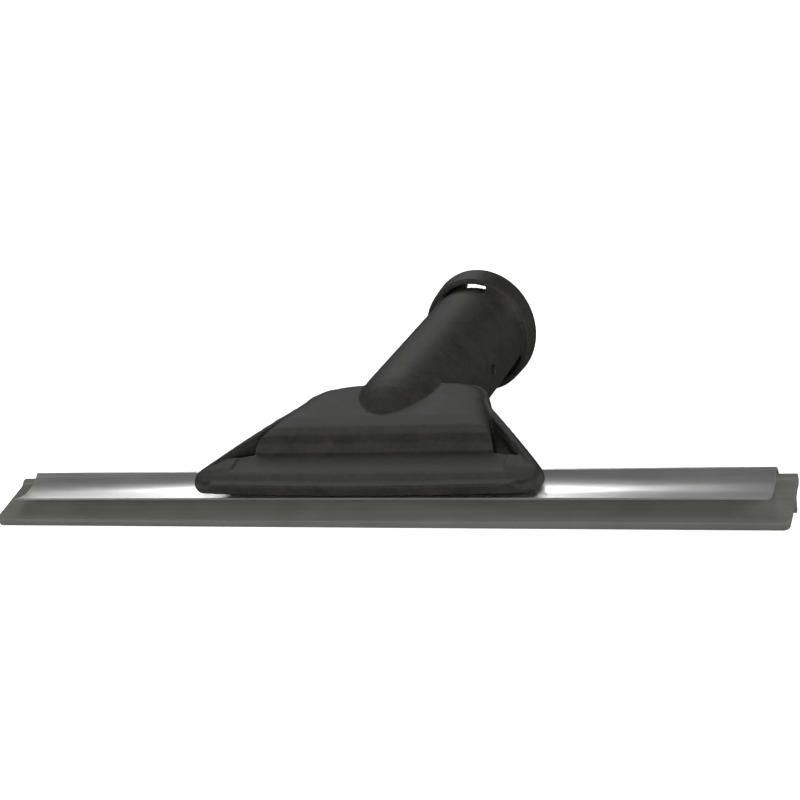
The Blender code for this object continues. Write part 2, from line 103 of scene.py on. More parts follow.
@dataclass(frozen=True)
class Finish:
    """One procedural finish: a base colour that wanders, a roughness range and a fine relief.

    Attributes:
        name: Material name.
        dark: Darkest base colour.
        light: Lightest base colour.
        metallic: Metallic value.
        rough: Lowest and highest roughness.
        specular: Specular level of the shader.
        grain: Direction of the fine marks.
        grain_mm: Size of one fine mark.
        relief_mm: Depth of the fine marks.
        patch_mm: Size of the slow changes of colour and roughness.
        wear: Share of light wear on sharp edges.
    """

    name: str
    dark: tuple[float, float, float]
    light: tuple[float, float, float]
    metallic: float
    rough: tuple[float, float]
    specular: float
    grain: Grain
    grain_mm: float
    relief_mm: float
    patch_mm: float
    wear: float

    def material(self) -> bpy.types.Material:
        """Builds the node material.

        Returns:
            The new material.
        """
        made = bpy.data.materials.new(self.name)
        made.use_nodes = True
        nodes, links = made.node_tree.nodes, made.node_tree.links
        shader = nodes["Principled BSDF"]
        shader.inputs["Metallic"].default_value = self.metallic
        shader.inputs["Specular IOR Level"].default_value = self.specular

        place = nodes.new("ShaderNodeTexCoord")
        stretch = nodes.new("ShaderNodeMapping")
        along = 0.02 if self.grain is Grain.ALONG_BLADE else 1.0
        stretch.inputs["Scale"].default_value = (along, 1.0, 1.0)
        links.new(place.outputs["Object"], stretch.inputs["Vector"])

        fine = self._noise(nodes, self.grain_mm, 4.0, 0.6)
        patch = self._noise(nodes, self.patch_mm, 3.0, 0.55)
        speck = self._noise(nodes, self.grain_mm * 3.5, 2.0, 0.5)
        links.new(stretch.outputs["Vector"], fine.inputs["Vector"])
        links.new(stretch.outputs["Vector"], speck.inputs["Vector"])
        links.new(place.outputs["Object"], patch.inputs["Vector"])

        mixed = nodes.new("ShaderNodeMix")
        mixed.inputs["Factor"].default_value = SPECK_SHARE
        links.new(patch.outputs["Fac"], mixed.inputs["A"])
        links.new(speck.outputs["Fac"], mixed.inputs["B"])

        colour = nodes.new("ShaderNodeValToRGB")
        colour.color_ramp.elements[0].position = COLOUR_SPAN[0]
        colour.color_ramp.elements[1].position = COLOUR_SPAN[1]
        colour.color_ramp.elements[0].color = (*self.dark, 1.0)
        colour.color_ramp.elements[1].color = (*self.light, 1.0)
        links.new(mixed.outputs["Result"], colour.inputs["Fac"])
        links.new(self._worn(nodes, links, colour), shader.inputs["Base Color"])

        rough = nodes.new("ShaderNodeMapRange")
        rough.inputs["From Min"].default_value = ROUGH_SPAN[0]
        rough.inputs["From Max"].default_value = ROUGH_SPAN[1]
        rough.inputs["To Min"].default_value = self.rough[0]
        rough.inputs["To Max"].default_value = self.rough[1]
        links.new(mixed.outputs["Result"], rough.inputs["Value"])
        links.new(rough.outputs["Result"], shader.inputs["Roughness"])

        bump = nodes.new("ShaderNodeBump")
        bump.inputs["Strength"].default_value = 1.0
        bump.inputs["Distance"].default_value = self.relief_mm * MM
        links.new(fine.outputs["Fac"], bump.inputs["Height"])
        links.new(bump.outputs["Normal"], shader.inputs["Normal"])
        return made

    @staticmethod
    def _noise(nodes: bpy.types.Nodes, size_mm: float, detail: float,
               rough: float) -> bpy.types.Node:
        """Adds a noise node whose marks have a real size.

        Args:
            nodes: The material's nodes.
            size_mm: Size of one mark.
            detail: Octaves of detail.
            rough: How strong the small octaves are.

        Returns:
            The noise node.
        """
        noise = nodes.new("ShaderNodeTexNoise")
        noise.inputs["Scale"].default_value = 1.0 / (size_mm * MM)
        noise.inputs["Detail"].default_value = detail
        noise.inputs["Roughness"].default_value = rough
        return noise

    def _worn(self, nodes: bpy.types.Nodes, links: bpy.types.NodeLinks,
              colour: bpy.types.Node) -> bpy.types.NodeSocket:
        """Lightens edges a little where hands and glass have rubbed them.

        Args:
            nodes: The material's nodes.
            links: The material's links.
            colour: The unworn colour.

        Returns:
            The colour with its wear.
        """
        shape = nodes.new("ShaderNodeNewGeometry")
        edge = nodes.new("ShaderNodeMapRange")
        edge.inputs["From Min"].default_value = WORN_SPAN[0]
        edge.inputs["From Max"].default_value = WORN_SPAN[1]
        edge.inputs["To Max"].default_value = self.wear
        links.new(shape.outputs["Pointiness"], edge.inputs["Value"])
        worn = nodes.new("ShaderNodeMix")
        worn.data_type = "RGBA"
        rubbed = tuple(min(1.0, WORN_LIFT * part) for part in self.light)
        worn.inputs["B"].default_value = (*rubbed, 1.0)
        links.new(edge.outputs["Result"], worn.inputs["Factor"])
        links.new(colour.outputs["Color"], worn.inputs["A"])
        return worn.outputs["Result"]


BLACK_PLASTIC = Finish("black_plastic_grained", (0.014, 0.014, 0.0133), (0.027, 0.026, 0.0235),
                       0.0, (0.50, 0.60), 0.15, Grain.EVEN, 0.55, 0.12, 7.0, 0.18)
SATIN_ALUMINIUM = Finish("aluminium_satin_drawn", (0.72, 0.72, 0.72), (0.80, 0.80, 0.79),
                         1.0, (0.30, 0.36), 0.5, Grain.ALONG_BLADE, 0.18, 0.003, 22.0, 0.10)
GREY_RUBBER = Finish("rubber_grey", (0.088, 0.088, 0.080), (0.118, 0.117, 0.106),
                     0.0, (0.55, 0.70), 0.4, Grain.ALONG_BLADE, 0.5, 0.010, 14.0, 0.25)
ZINC_STEEL = Finish("zinc_plated_steel", (0.50, 0.50, 0.48), (0.66, 0.66, 0.64),
                    1.0, (0.22, 0.38), 0.5, Grain.EVEN, 0.6, 0.006, 2.5, 0.2)


# --------------------------------------------------------------------------- geometry


@dataclass(frozen=True)
class HeadAxes:
    """The blade's axes in the frame: a tilt about X and a shift in metres.

    Attributes:
        tilt: Angle about X, in radians.
        shift: Place of the blade axes' origin.
    """

    tilt: float
    shift: Vector

    def matrix(self) -> Matrix:
        """Matrix from blade millimetres to frame metres."""
        turn = Matrix.Rotation(self.tilt, 4, "X")
        return Matrix.Translation(self.shift) @ turn @ Matrix.Scale(MM, 4)

    def rotation(self) -> Matrix:
        """Rotation from the blade's axes to the frame's."""
        return Matrix.Rotation(self.tilt, 4, "X")


def arc(centre: Point2, radius: float, start: float, end: float, steps: int) -> list[Point2]:
    """Points on an arc.

    Args:
        centre: Centre of the arc.
        radius: Radius.
        start: First angle, in degrees.
        end: Last angle, in degrees.
        steps: Number of spans.

    Returns:
        The points, both ends included.
    """
    points = []
    for step in range(steps + 1):
        angle = math.radians(start + (end - start) * step / steps)
        points.append((centre[0] + radius * math.cos(angle),
                       centre[1] + radius * math.sin(angle)))
    return points


def level(height: float) -> Height:
    """A height that is the same at every Y.

    Args:
        height: The height.

    Returns:
        The rule for slab.
    """
    return lambda y: height


def slab(outline: Sequence[Point2], bottom: Height, top: Height) -> bmesh.types.BMesh:
    """A plan outline between two heights that follow Y.

    Args:
        outline: Plan points, in X and Y.
        bottom: Lower height at a Y.
        top: Upper height at a Y.

    Returns:
        The solid.
    """
    work = bmesh.new()
    low = [work.verts.new((x, y, bottom(y))) for x, y in outline]
    face = work.faces.new(low)
    drawn = bmesh.ops.extrude_face_region(work, geom=[face])
    for item in drawn["geom"]:
        if isinstance(item, bmesh.types.BMVert):
            item.co.z = top(item.co.y)
    return work


def block(half: float, front: float, back: float) -> list[Point2]:
    """A plain oblong plan for a cutter.

    Args:
        half: Half its width.
        front: Y of its front.
        back: Y of its back.

    Returns:
        Plan points, anticlockwise.
    """
    return [(-half, front), (half, front), (half, back), (-half, back)]


def bar(section: Sequence[Point2], half_length: float) -> bmesh.types.BMesh:
    """A section in Y and Z drawn out along X.

    Args:
        section: Section points, in Y and Z.
        half_length: Half of the bar's length.

    Returns:
        The solid.
    """
    work = bmesh.new()
    start = [work.verts.new((-half_length, y, z)) for y, z in section]
    face = work.faces.new(start)
    drawn = bmesh.ops.extrude_face_region(work, geom=[face])
    moved = [item for item in drawn["geom"] if isinstance(item, bmesh.types.BMVert)]
    bmesh.ops.translate(work, vec=(2 * half_length, 0.0, 0.0), verts=moved)
    return work


def loft(rows: Sequence[Sequence[Vector]]) -> bmesh.types.BMesh:
    """A solid through closed sections.

    Args:
        rows: Sections with the same number of points.

    Returns:
        The solid.
    """
    work = bmesh.new()
    made = [[work.verts.new(point) for point in row] for row in rows]
    work.faces.new(made[0])
    work.faces.new(made[-1])
    for near, far in zip(made, made[1:]):
        for index in range(len(near)):
            following = (index + 1) % len(near)
            work.faces.new((near[index], near[following], far[following], far[index]))
    return work


@dataclass
class Workshop:
    """Makes, combines and finishes meshes.

    Attributes:
        axes: The blade's axes in the frame.
    """

    axes: HeadAxes
    scraps: list[bpy.types.Object] = field(default_factory=list)

    def solid(self, name: str, work: bmesh.types.BMesh) -> bpy.types.Object:
        """Turns a bmesh into a hidden working object, in blade millimetres.

        Args:
            name: Object name.
            work: The mesh, which is freed.

        Returns:
            The object.
        """
        bmesh.ops.recalc_face_normals(work, faces=work.faces)
        mesh = bpy.data.meshes.new(name)
        work.to_mesh(mesh)
        work.free()
        made = bpy.data.objects.new(name, mesh)
        bpy.context.scene.collection.objects.link(made)
        self.scraps.append(made)
        return made

    def combine(self, target: bpy.types.Object, tool: bpy.types.Object, cut: Cut) -> None:
        """Joins a solid to another or removes it.

        Args:
            target: The solid that changes.
            tool: The solid that acts.
            cut: Join or remove.
        """
        step = target.modifiers.new(tool.name, "BOOLEAN")
        step.object = tool
        step.operation = cut.value
        step.solver = "EXACT"
        step.use_self = True

    def settled(self, target: bpy.types.Object) -> bpy.types.Mesh:
        """The mesh of a working object with its modifiers applied.

        Args:
            target: The working object.

        Returns:
            A new mesh.
        """
        bpy.context.view_layer.update()
        graph = bpy.context.evaluated_depsgraph_get()
        return bpy.data.meshes.new_from_object(target.evaluated_get(graph))

    def soften(self, target: bpy.types.Object, voxel: float, rounds: int, keep: float) -> None:
        """Rounds a solid's edges and fills its inner corners, as a moulding has them.

        Args:
            target: The working object.
            voxel: Size of the remeshing grid.
            rounds: Rounds of smoothing.
            keep: Share of the faces to keep.
        """
        grid = target.modifiers.new("grid", "REMESH")
        grid.mode = "VOXEL"
        grid.voxel_size = voxel
        grid.use_smooth_shade = True
        ease = target.modifiers.new("ease", "SMOOTH")
        ease.factor = 0.5
        ease.iterations = rounds
        if keep < 1.0:
            fewer = target.modifiers.new("fewer", "DECIMATE")
            fewer.ratio = keep

    def piece(self, name: str, target: bpy.types.Object, finish: bpy.types.Material,
              sharp: float | None = None) -> bpy.types.Object:
        """Makes a finished piece of a working object.

        Args:
            name: The piece's name.
            target: The working object.
            finish: Its material.
            sharp: Angle in degrees above which an edge stays sharp, or None for smooth.

        Returns:
            The piece, in the frame's metres.
        """
        mesh = self.settled(target)
        mesh.name = name
        mesh.transform(self.axes.matrix())
        mesh.materials.clear()
        mesh.materials.append(finish)
        mesh.polygons.foreach_set("use_smooth", [True] * len(mesh.polygons))
        if sharp is not None:
            mesh.set_sharp_from_angle(angle=math.radians(sharp))
        mesh.update()
        made = bpy.data.objects.new(name, mesh)
        bpy.context.scene.collection.objects.link(made)
        return made

    def clear(self) -> None:
        """Removes the working objects."""
        for scrap in self.scraps:
            bpy.data.objects.remove(scrap, do_unlink=True)
        self.scraps.clear()


# --------------------------------------------------------------------------- pole socket


@dataclass
class PoleSocket:
    """Round tube with a cone nose, a stepped bore and an oval bayonet collar.

    Distances along the tube run from its mouth and are negative towards the nose; angles
    run from the top of the tube towards +X.
    """

    tilt: float = math.radians(-10.5)
    mouth: Point2 = (150.3, -18.7)
    radius: float = 19.3
    nose: tuple[Point2, ...] = ((0.2, -118.6), (3.6, -118.2), (6.4, -117.2), (8.6, -115.8),
                                (10.3, -114.3), (12.6, -111.2), (15.2, -106.8), (17.3, -102.2),
                                (18.5, -97.8), (19.1, -93.6), (19.3, -89.0))
    bore: float = 17.0
    bore_depth: float = 54.0
    inner_bore: float = 14.0
    inner_depth: float = 92.0
    collar_half_width: float = 21.9
    collar_half_depth: float = 24.5
    collar_drop: float = 0.8
    collar_length: float = 10.5
    collar_wall: float = 2.3
    collar_flare: float = 0.6
    web_start: float = math.radians(20.0)
    web_span: float = math.radians(58.0)
    web_length: float = 7.5
    slot_start: float = math.radians(-13.0)
    slot_span: float = math.radians(33.0)
    slot_front: float = -9.0
    latch_radius: float = 2.0
    latch_back: float = -49.0
    turn_steps: int = 144
    groove_steps: int = 8
    clear_half: float = 40.0
    clear_front: float = 20.0
    clear_back: float = 170.0
    clear_depth: float = 30.0

    def _axis(self) -> Vector:
        """Direction from the nose to the mouth."""
        return Vector((0.0, math.cos(self.tilt), math.sin(self.tilt)))

    def _up(self) -> Vector:
        """Direction square to the axis, away from the table."""
        return Vector((0.0, -math.sin(self.tilt), math.cos(self.tilt)))

    def round_point(self, angle: float, radius: float, back: float) -> Vector:
        """A point on a circle round the axis.

        Args:
            angle: Angle from the top, in radians.
            radius: Distance from the axis.
            back: Distance along the axis.

        Returns:
            The point.
        """
        side = self._up() * math.cos(angle) + Vector((math.sin(angle), 0.0, 0.0))
        return Vector((0.0, *self.mouth)) + self._axis() * back + side * radius

    def oval_point(self, angle: float, inset: float, back: float) -> Vector:
        """A point on the collar's oval.

        Args:
            angle: Angle from the top, in radians.
            inset: How far the oval is drawn in.
            back: Distance along the axis.

        Returns:
            The point.
        """
        deep = (self.collar_half_depth - inset) * math.cos(angle) - self.collar_drop
        wide = (self.collar_half_width - inset) * math.sin(angle)
        middle = Vector((0.0, *self.mouth)) + self._axis() * back
        return middle + self._up() * deep + Vector((wide, 0.0, 0.0))

    def _open_groove(self, angle: float) -> list[Vector]:
        """Tube wall, closed back and inner face of the collar.

        Args:
            angle: Angle of the section.

        Returns:
            Points from the tube to the collar's front.
        """
        back = -1.6
        start = -self.collar_length - self.web_length
        steps = self.groove_steps
        path = [self.round_point(angle, self.radius, start + (back - start) * step / steps)
                for step in range(steps)]
        path.append(self.round_point(angle, self.radius, back))
        for step in range(steps):
            share = step / (steps - 1)
            inset = self.collar_wall + self.collar_flare * share
            path.append(self.oval_point(angle, inset,
                                        back + (0.25 - self.collar_length - back) * share))
        return path

    def _webbed_groove(self, angle: float) -> list[Vector]:
        """A web that flares from the tube up to the collar's front.

        Args:
            angle: Angle of the section.

        Returns:
            Points from the tube to the collar's front.
        """
        start = -self.collar_length - self.web_length
        path = []
        for step in range(2 * self.groove_steps + 1):
            share = step / (2 * self.groove_steps)
            back = start + self.web_length * share
            low = self.round_point(angle, self.radius, back)
            high = self.oval_point(angle, self.collar_flare + 1.0, back)
            path.append(low.lerp(high, share ** 2.2))
        return path

    def section(self, angle: float) -> list[Vector]:
        """The socket cut through at one angle, from the nose round to the bore's end.

        Args:
            angle: Angle of the section.

        Returns:
            The section's points.
        """
        front = -self.collar_length
        nose = [self.round_point(angle, radius, back) for radius, back in self.nose]
        webbed = 0.0 < (angle - self.web_start) % math.pi < self.web_span
        groove = self._webbed_groove(angle) if webbed else self._open_groove(angle)
        collar = [self.oval_point(angle, self.collar_flare + 0.45, front),
                  self.oval_point(angle, self.collar_flare, front + 0.5),
                  self.oval_point(angle, 0.0, -0.9),
                  self.oval_point(angle, 0.25, -0.25),
                  self.oval_point(angle, 0.9, 0.0)]
        inside = [(self.bore + 0.7, 0.0), (self.bore, -0.7), (self.bore, -self.bore_depth),
                  (self.inner_bore, -self.bore_depth), (self.inner_bore, -self.inner_depth),
                  (0.2, -self.inner_depth)]
        return nose + groove + collar + [self.round_point(angle, *spot) for spot in inside]

    def body(self) -> bmesh.types.BMesh:
        """The whole socket before its slots are cut.

        Returns:
            The solid.
        """
        angles = [2 * math.pi * step / self.turn_steps for step in range(self.turn_steps)]
        work = bmesh.new()
        rows = [[work.verts.new(point) for point in self.section(angle)] for angle in angles]
        for index, near in enumerate(rows):
            far = rows[(index + 1) % len(rows)]
            for spot in range(len(near) - 1):
                work.faces.new((near[spot], near[spot + 1], far[spot + 1], far[spot]))
        work.faces.new([row[0] for row in rows])
        work.faces.new([row[-1] for row in reversed(rows)])
        return work

    def slot(self, half_turn: int) -> bmesh.types.BMesh:
        """A pin's way in through the tube wall and the collar's back.

        Args:
            half_turn: 0 for the upper slot, 1 for the lower.

        Returns:
            The cutter.
        """
        rows = []
        steps = 12
        deep = self.collar_wall + 0.2
        for step in range(steps + 1):
            angle = self.slot_start + half_turn * math.pi + self.slot_span * step / steps
            rows.append([self.round_point(angle, self.bore - 2.0, 2.0),
                         self.round_point(angle, self.bore - 2.0, self.slot_front),
                         self.oval_point(angle, self.collar_flare + deep, self.slot_front),
                         self.oval_point(angle, deep, 2.0)])
        return loft(rows)

    def latch(self) -> bmesh.types.BMesh:
        """The latch's hole in one flank.

        Returns:
            The cutter.
        """
        hole = bmesh.new()
        bmesh.ops.create_cone(hole, cap_ends=True, segments=32, radius1=self.latch_radius,
                              radius2=self.latch_radius * 1.15, depth=12.0,
                              matrix=Matrix.Rotation(math.pi / 2, 4, "Y"))
        centre = self.round_point(math.pi / 2, self.radius, self.latch_back)
        bmesh.ops.translate(hole, vec=centre, verts=hole.verts)
        return hole


# --------------------------------------------------------------------------- fan body


@dataclass
class FanBody:
    """Moulded fan: rounded front lip, hollowed ledge, raised rims and a sloping hood.

    A hood section is its distance back, half width, crown height and shoulder squareness.
    """

    front_y: float = 8.3
    front_sag: float = 1.7
    corner_radius: float = 6.0
    side_y: float = 19.5
    side_half: float = 61.4
    side_fall: float = 0.84
    side_end_y: float = 47.0
    back_centre: Point2 = (22.5, 52.5)
    back_radius: float = 12.3
    bottom: float = 3.3
    ledge_z: float = 8.0
    ledge_front_y: float = 18.0
    rim_slope: float = 0.097
    rim_start_y: float = 17.5
    rim_width: float = 2.6
    rim_fall_y: float = 46.0
    rim_fall: float = 0.09
    lip_radius: float = 2.8
    foot_y: float = 26.8
    wall_bottom: float = -2.0
    wall_start_y: float = 26.4
    pocket_floor: float = 4.6
    pocket: tuple[Point2, ...] = ((43.9, 26.0), (53.4, 24.0), (38.0, 42.6))
    hood: tuple[tuple[float, float, float, float], ...] = (
        (26.8, 44.3, 8.2, 22.0), (27.3, 44.1, 9.5, 20.0), (28.4, 43.7, 10.8, 18.0),
        (31.0, 42.8, 12.1, 14.0), (35.0, 41.3, 12.9, 11.0), (41.0, 39.1, 13.0, 9.0),
        (47.0, 36.7, 12.6, 8.0), (52.0, 34.4, 12.0, 7.0), (56.0, 33.9, 11.4, 7.0),
        (59.5, 32.1, 10.9, 6.5), (62.0, 29.6, 10.5, 6.0), (63.6, 26.8, 10.2, 6.0),
        (64.5, 23.4, 10.0, 6.0))
    hood_base: float = 4.6
    hollow_depth: float = 0.55
    hollow_ahead: float = 3.2
    hollow_end: float = 12.0
    hollow_top: float = 12.0
    wall_overlap: float = 1.5
    clear_half: float = 50.0
    clear_back: float = 75.0

    def side_at(self, y: float, inset: float) -> float:
        """Half the fan's width on its straight side.

        Args:
            y: Distance back.
            inset: How far the side is drawn in.

        Returns:
            The half width.
        """
        reach = inset * math.hypot(1.0, self.side_fall)
        return self.side_half - self.side_fall * (y - self.side_y) - reach

    def front_at(self, x: float) -> float:
        """Distance back of the bowed front edge at an X."""
        return self.front_y + self.front_sag * (x / self.side_half) ** 2

    def plan(self, inset: float = 0.0, front: float | None = None) -> list[Point2]:
        """The fan's plan.

        Args:
            inset: How far the plan is drawn in.
            front: A straight front at this Y, or None for the bowed front.

        Returns:
            Plan points, anticlockwise.
        """
        right: list[Point2] = []
        if front is None:
            normal = 90.0 - math.degrees(math.atan(1.0 / self.side_fall))
            centre_y = self.front_at(self.side_half - self.corner_radius) + self.corner_radius
            centre = (self.side_at(centre_y, self.corner_radius), centre_y)
            for step in range(24):
                x = centre[0] * step / 23
                right.append((x, self.front_at(x)))
            right += arc(centre, self.corner_radius, -84.0, normal, 16)
        else:
            right += [(0.0, front), (self.side_at(front, inset), front)]
        right.append((self.side_at(self.side_end_y, inset), self.side_end_y))
        right += arc(self.back_centre, self.back_radius - inset, 8.0, 90.0, 16)
        left = [(-x, y) for x, y in reversed(right) if x > 0.001]
        return right + left

    def rim_at(self, y: float) -> float:
        """Height of the raised rims at a Y."""
        return self.ledge_z + self.rim_slope * (y - self.rim_start_y)

    def fall_at(self, y: float) -> float:
        """Height of the rims where they come down again at the back."""
        return self.rim_at(self.rim_fall_y) - self.rim_fall * (y - self.rim_fall_y)

    def skirt(self) -> bmesh.types.BMesh:
        """The fan's plate with its rounded front lip.

        Returns:
            The solid.
        """
        work = slab(self.plan(), level(self.bottom), self.rim_at)
        lip = [edge for edge in work.edges
               if all(vert.co.z > self.bottom + 1.0 and vert.co.y < self.side_y + 1.0
                      for vert in edge.verts)]
        bmesh.ops.bevel(work, geom=lip, offset=self.lip_radius, segments=8, profile=0.5,
                        affect="EDGES")
        return work

    def dome(self) -> bmesh.types.BMesh:
        """The hood, through square-shouldered sections.

        Returns:
            The solid.
        """
        columns = 48
        rows = []
        for back, half, crown, power in self.hood:
            row = [Vector((half, back, self.hood_base))]
            for step in range(columns + 1):
                angle = math.pi * step / columns
                across = math.copysign(abs(math.cos(angle)) ** (2.0 / power), math.cos(angle))
                rise = abs(math.sin(angle)) ** (2.0 / power)
                height = self.hood_base + 0.05 + (crown - self.hood_base) * rise
                row.append(Vector((half * across, back, height)))
            row.append(Vector((-half, back, self.hood_base)))
            rows.append(row)
        return loft(rows)

    def hollow_ledge(self) -> bmesh.types.BMesh:
        """The shallow hollow of the ledge between the lip and the hood's foot.

        Returns:
            The cutter.
        """
        front = self.ledge_front_y - self.hollow_ahead
        back = self.foot_y - 0.2
        section = [(front, self.hollow_top)]
        for step in range(13):
            share = step / 12
            sink = self.hollow_depth * math.sin(math.pi * share) ** 0.8
            section.append((front + (back - front) * share, self.ledge_z - sink))
        section.append((back, self.hollow_top))
        return bar(section, self.side_half - self.hollow_end)

    def pocket_cutter(self, side: Side) -> bmesh.types.BMesh:
        """The three-cornered hollow beside the hood.

        Args:
            side: Left or right.

        Returns:
            The cutter.
        """
        outline = [(side.value * x, y) for x, y in self.pocket]
        return slab(outline, level(self.pocket_floor), level(ABOVE_ALL))


@dataclass
class HeadMoulding:
    """The fan and the socket as one black moulding."""

    fan: FanBody = field(default_factory=FanBody)
    socket: PoleSocket = field(default_factory=PoleSocket)
    voxel: float = 0.4
    rounds: int = 4
    keep: float = 0.4

    def _fan(self, shop: Workshop) -> bpy.types.Object:
        """Builds the fan.

        Args:
            shop: The workshop.

        Returns:
            The working object.
        """
        fan = self.fan
        made = shop.solid("fan", fan.skirt())
        walls = slab(fan.plan(0.0, fan.wall_start_y), level(fan.wall_bottom),
                     level(fan.bottom + fan.wall_overlap))
        shop.combine(made, shop.solid("walls", walls), Cut.JOIN)
        back = slab(block(fan.clear_half, fan.rim_fall_y, fan.clear_back), fan.fall_at,
                    level(ABOVE_ALL))
        shop.combine(made, shop.solid("back", back), Cut.REMOVE)
        ledge = slab(fan.plan(fan.rim_width, fan.ledge_front_y), level(fan.ledge_z),
                     level(ABOVE_ALL))
        shop.combine(made, shop.solid("ledge", ledge), Cut.REMOVE)
        shop.combine(made, shop.solid("hollow", fan.hollow_ledge()), Cut.REMOVE)
        shop.combine(made, shop.solid("hood", fan.dome()), Cut.JOIN)
        for side in Side:
            pocket = shop.solid("pocket_" + side.name.lower(), fan.pocket_cutter(side))
            shop.combine(made, pocket, Cut.REMOVE)
        return made

    def _socket(self, shop: Workshop, table: Height) -> bpy.types.Object:
        """Builds the socket.

        Args:
            shop: The workshop.
            table: Height of the table at a Y.

        Returns:
            The working object.
        """
        made = shop.solid("tube", self.socket.body())
        for half_turn in range(2):
            slot = shop.solid("slot_%d" % half_turn, self.socket.slot(half_turn))
            shop.combine(made, slot, Cut.REMOVE)
        shop.combine(made, shop.solid("latch", self.socket.latch()), Cut.REMOVE)
        plan = block(self.socket.clear_half, self.socket.clear_front, self.socket.clear_back)
        below = slab(plan, lambda y: table(y) - self.socket.clear_depth, table)
        shop.combine(made, shop.solid("table", below), Cut.REMOVE)
        return made

    def build(self, shop: Workshop, finish: bpy.types.Material,
              table: Height) -> list[bpy.types.Object]:
        """Builds, softens and dresses the moulding.

        Args:
            shop: The workshop.
            finish: The black plastic.
            table: Height of the table at a Y.

        Returns:
            The finished piece.
        """
        parts = [self._fan(shop), self._socket(shop, table)]
        work = bmesh.new()
        for part in parts:
            work.from_mesh(shop.settled(part))
        whole = shop.solid("moulding", work)
        shop.soften(whole, self.voxel, self.rounds, self.keep)
        made = shop.piece("head_moulding", whole, finish)
        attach(made, "head")
        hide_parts("head_shell", "socket_tube")
        return [made]


# --------------------------------------------------------------------------- cover, screws


@dataclass
class LowerCover:
    """Tray under the fan, softened from the frame's own solid."""

    voxel: float = 0.6
    rounds: int = 3
    keep: float = 0.4

    def build(self, shop: Workshop, finish: bpy.types.Material,
              node: bpy.types.Object) -> list[bpy.types.Object]:
        """Rounds the cover's edges and dresses it.

        Args:
            shop: The workshop.
            finish: The black plastic.
            node: The frame's cover.

        Returns:
            The finished piece.
        """
        work = bmesh.new()
        work.from_mesh(node.data)
        work.transform(shop.axes.matrix().inverted())
        bmesh.ops.remove_doubles(work, verts=work.verts, dist=0.001)
        tray = shop.solid("tray", work)
        shop.soften(tray, self.voxel, self.rounds, self.keep)
        made = shop.piece("lower_cover_moulding", tray, finish)
        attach(made, "head")
        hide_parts("lower_cover")
        return [made]


@dataclass
class PanScrews:
    """Pan-head screws with domed heads and cross recesses."""

    head_radius: float = 2.9
    head_height: float = 1.8
    shank_radius: float = 1.4
    recess: tuple[float, float, float] = (2.9, 0.7, 1.6)
    turn_steps: int = 40

    def _profile(self, low: float, high: float) -> list[Point2]:
        """Half of a screw's outline, as radius and height.

        Args:
            low: Height of the head's crown.
            high: Height of the tip.

        Returns:
            The points, from the crown to the tip.
        """
        crown = [(self.head_radius * math.sin(math.radians(angle)),
                  low + 1.1 * (1.0 - math.cos(math.radians(angle)))) for angle in range(15, 91, 15)]
        seat = low + self.head_height
        thread = []
        pitch = 0.9
        turns = int((high - seat - 1.2) / pitch)
        for turn in range(turns):
            base = seat + 0.2 + turn * pitch
            thread += [(self.shank_radius * 0.82, base), (self.shank_radius, base + pitch / 2)]
        tip = [(self.shank_radius * 0.8, high - 0.9), (0.25, high)]
        return crown + [(self.head_radius, seat), (self.shank_radius, seat)] + thread + tip

    def build_one(self, shop: Workshop, finish: bpy.types.Material,
                  node: bpy.types.Object) -> bpy.types.Object:
        """Builds the screw that stands for one frame node.

        Args:
            shop: The workshop.
            finish: The zinc-plated steel.
            node: The frame's screw.

        Returns:
            The finished screw.
        """
        to_blade = shop.axes.matrix().inverted()
        points = [to_blade @ vert.co for vert in node.data.vertices]
        low = min(point.z for point in points)
        high = max(point.z for point in points)
        centre_x = sum((min(p.x for p in points), max(p.x for p in points))) / 2
        centre_y = sum((min(p.y for p in points), max(p.y for p in points))) / 2
        outline = self._profile(low, high)
        rows = []
        for radius, height in outline:
            ring = arc((centre_x, centre_y), radius, 0.0, 360.0, self.turn_steps)[:-1]
            rows.append([Vector((x, y, height)) for x, y in ring])
        made = shop.solid(node.name + "_body", loft(rows))
        long, thin, deep = self.recess
        for index, size in enumerate(((long, thin, deep), (thin, long, deep))):
            slot = bmesh.new()
            place = Matrix.Translation((centre_x, centre_y, low)) @ Matrix.Diagonal((*size, 1.0))
            bmesh.ops.create_cube(slot, size=1.0, matrix=place)
            shop.combine(made, shop.solid("%s_slot_%d" % (node.name, index), slot), Cut.REMOVE)
        screw = shop.piece(node.name + "_turned", made, finish, 35.0)
        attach(screw, "head")
        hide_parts(node.name)
        return screw

    def build(self, shop: Workshop, finish: bpy.types.Material,
              nodes: Sequence[bpy.types.Object]) -> list[bpy.types.Object]:
        """Builds every screw.

        Args:
            shop: The workshop.
            finish: The zinc-plated steel.
            nodes: The frame's screws.

        Returns:
            The finished screws.
        """
        return [self.build_one(shop, finish, node) for node in nodes]


# --------------------------------------------------------------------------- channel, blade


